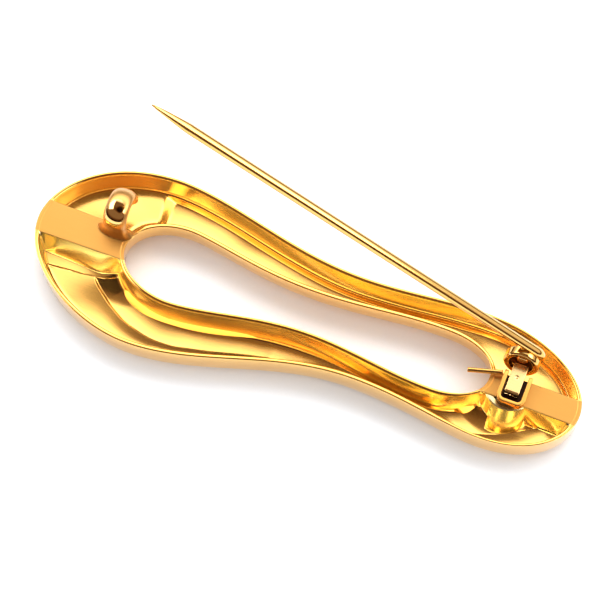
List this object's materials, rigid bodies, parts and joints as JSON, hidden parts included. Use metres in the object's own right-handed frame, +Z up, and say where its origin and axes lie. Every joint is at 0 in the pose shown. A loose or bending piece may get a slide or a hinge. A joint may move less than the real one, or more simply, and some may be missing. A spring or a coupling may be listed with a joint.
{
  "type": "modern loop brooch with hinged pin",
  "caption": "Waisted open-loop brooch seen from its hollow back, with a long straight pin hinged near the narrow end and swung open from a curled catch.",
  "frame": {"origin": "under the middle of the loop, on the surface that its face rests on", "axes": "+X along the loop from the broad catch end to the hinge end, +Z up out of the hollow back, +Y across the loop towards the catch's mouth"},
  "size_m": [0.0588, 0.0188, 0.0327],
  "materials": {
    "gold_plate": "polished gold plate",
    "satin_gold": "satin gold plate",
    "pale_gold": "polished pale gold plate"
  },
  "bodies": {
    "brooch": {"loop_body": "gold_plate", "catch_hook": "gold_plate", "hinge_box": "satin_gold", "hinge_leaf": "satin_gold", "rivet": "gold_plate", "stop_wire": "gold_plate"},
    "pin": {"pin": "pale_gold"}
  },
  "joints": [
    {"name": "pin_hinge", "type": "hinge", "parent": "brooch", "child": "pin", "pos_m": [0.02222, 0.00268, 0.0054], "axis": [0, 1, 0], "range_deg": [-31, 60]}
  ]
}
